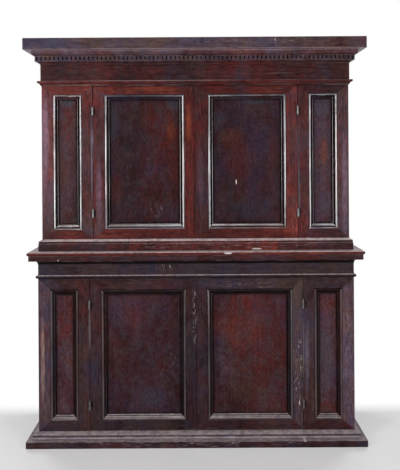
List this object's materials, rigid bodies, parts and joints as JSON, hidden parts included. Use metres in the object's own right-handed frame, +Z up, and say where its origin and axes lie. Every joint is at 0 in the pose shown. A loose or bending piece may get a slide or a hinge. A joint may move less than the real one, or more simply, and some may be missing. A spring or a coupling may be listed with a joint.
{
  "type": "two-stage cupboard",
  "caption": "Dark walnut two-stage cupboard with framed and panelled hinged doors between fixed bays, dentilled cornice, moulded waist and moulded plinth.",
  "frame": {"origin": "on the floor, under the middle of the cupboard's overall width and depth", "axes": "+Z up, +X to the right seen from the front, +Y towards the back, so the doors face -Y"},
  "size_m": [1.797, 0.59, 2.146],
  "materials": {
    "walnut": "waxed, dark stained",
    "inner_wood": "unpolished, aged",
    "iron": "dark, lightly worn"
  },
  "bodies": {
    "carcass": {"lower_side_boards": "walnut", "lower_floor_board": "inner_wood", "lower_shelf": "inner_wood", "lower_back_boards": "inner_wood", "upper_side_boards": "walnut", "upper_floor_board": "inner_wood", "upper_shelf": "inner_wood", "upper_back_boards": "inner_wood", "shelf_cleats": "inner_wood", "plinth_boards": "walnut", "plinth_moulding": "walnut", "lower_base_rail": "walnut", "lower_frieze_board": "walnut", "lower_astragal": "walnut", "waist_cavetto": "walnut", "waist_fascia": "walnut", "waist_slab": "walnut", "upper_base_rail": "walnut", "upper_plinth_boards": "walnut", "upper_frieze_boards": "walnut", "necking_moulding": "walnut", "bed_moulding": "walnut", "dentil_strip": "walnut", "crown_moulding": "walnut", "cornice_boards": "walnut", "cornice_dust_boards": "inner_wood", "lower_bay_frames": "walnut", "lower_bay_mouldings": "walnut", "lower_bay_panels": "walnut", "upper_bay_frames": "walnut", "upper_bay_mouldings": "walnut", "upper_bay_panels": "walnut", "hinge_fixed_leaves": "iron", "hinge_pins": "iron", "bolt_keepers": "iron"},
    "lower_left_door": {"lower_left_door_frame": "walnut", "lower_left_door_moulding": "walnut", "lower_left_door_panel": "walnut", "lower_left_door_hinge_leaves": "iron", "lower_bolt_straps": "iron"},
    "lower_right_door": {"lower_right_door_frame": "walnut", "lower_right_door_moulding": "walnut", "lower_right_door_panel": "walnut", "lower_right_door_hinge_leaves": "iron", "lower_lock_case": "iron"},
    "lower_lock_bolt": {"lower_lock_bolt": "iron"},
    "lower_slide_bolt": {"lower_slide_bolt": "iron"},
    "upper_left_door": {"upper_left_door_frame": "walnut", "upper_left_door_moulding": "walnut", "upper_left_door_panel": "walnut", "upper_left_door_hinge_leaves": "iron", "upper_bolt_straps": "iron"},
    "upper_right_door": {"upper_right_door_frame": "walnut", "upper_right_door_moulding": "walnut", "upper_right_door_panel": "walnut", "upper_right_door_hinge_leaves": "iron", "upper_lock_case": "iron"},
    "upper_lock_bolt": {"upper_lock_bolt": "iron"},
    "upper_slide_bolt": {"upper_slide_bolt": "iron"}
  },
  "joints": [
    {"name": "lower_left_door_hinge", "type": "hinge", "parent": "carcass", "child": "lower_left_door", "pos_m": [-0.5655, -0.241, 0.474], "axis": [0, 0, -1], "range_deg": [0, 170]},
    {"name": "lower_right_door_hinge", "type": "hinge", "parent": "carcass", "child": "lower_right_door", "pos_m": [0.5655, -0.241, 0.474], "axis": [0, 0, 1], "range_deg": [0, 170]},
    {"name": "lower_lock_bolt_throw", "type": "slide", "parent": "lower_right_door", "child": "lower_lock_bolt", "axis": [-1, 0, 0], "range_m": [0, 0.014]},
    {"name": "lower_slide_bolt_throw", "type": "slide", "parent": "lower_left_door", "child": "lower_slide_bolt", "axis": [0, 0, 1], "range_m": [0, 0.02]},
    {"name": "upper_left_door_hinge", "type": "hinge", "parent": "carcass", "child": "upper_left_door", "pos_m": [-0.546, -0.2215, 1.4935], "axis": [0, 0, -1], "range_deg": [0, 170]},
    {"name": "upper_right_door_hinge", "type": "hinge", "parent": "carcass", "child": "upper_right_door", "pos_m": [0.546, -0.2215, 1.4935], "axis": [0, 0, 1], "range_deg": [0, 170]},
    {"name": "upper_lock_bolt_throw", "type": "slide", "parent": "upper_right_door", "child": "upper_lock_bolt", "axis": [-1, 0, 0], "range_m": [0, 0.014]},
    {"name": "upper_slide_bolt_throw", "type": "slide", "parent": "upper_left_door", "child": "upper_slide_bolt", "axis": [0, 0, 1], "range_m": [0, 0.02]}
  ]
}
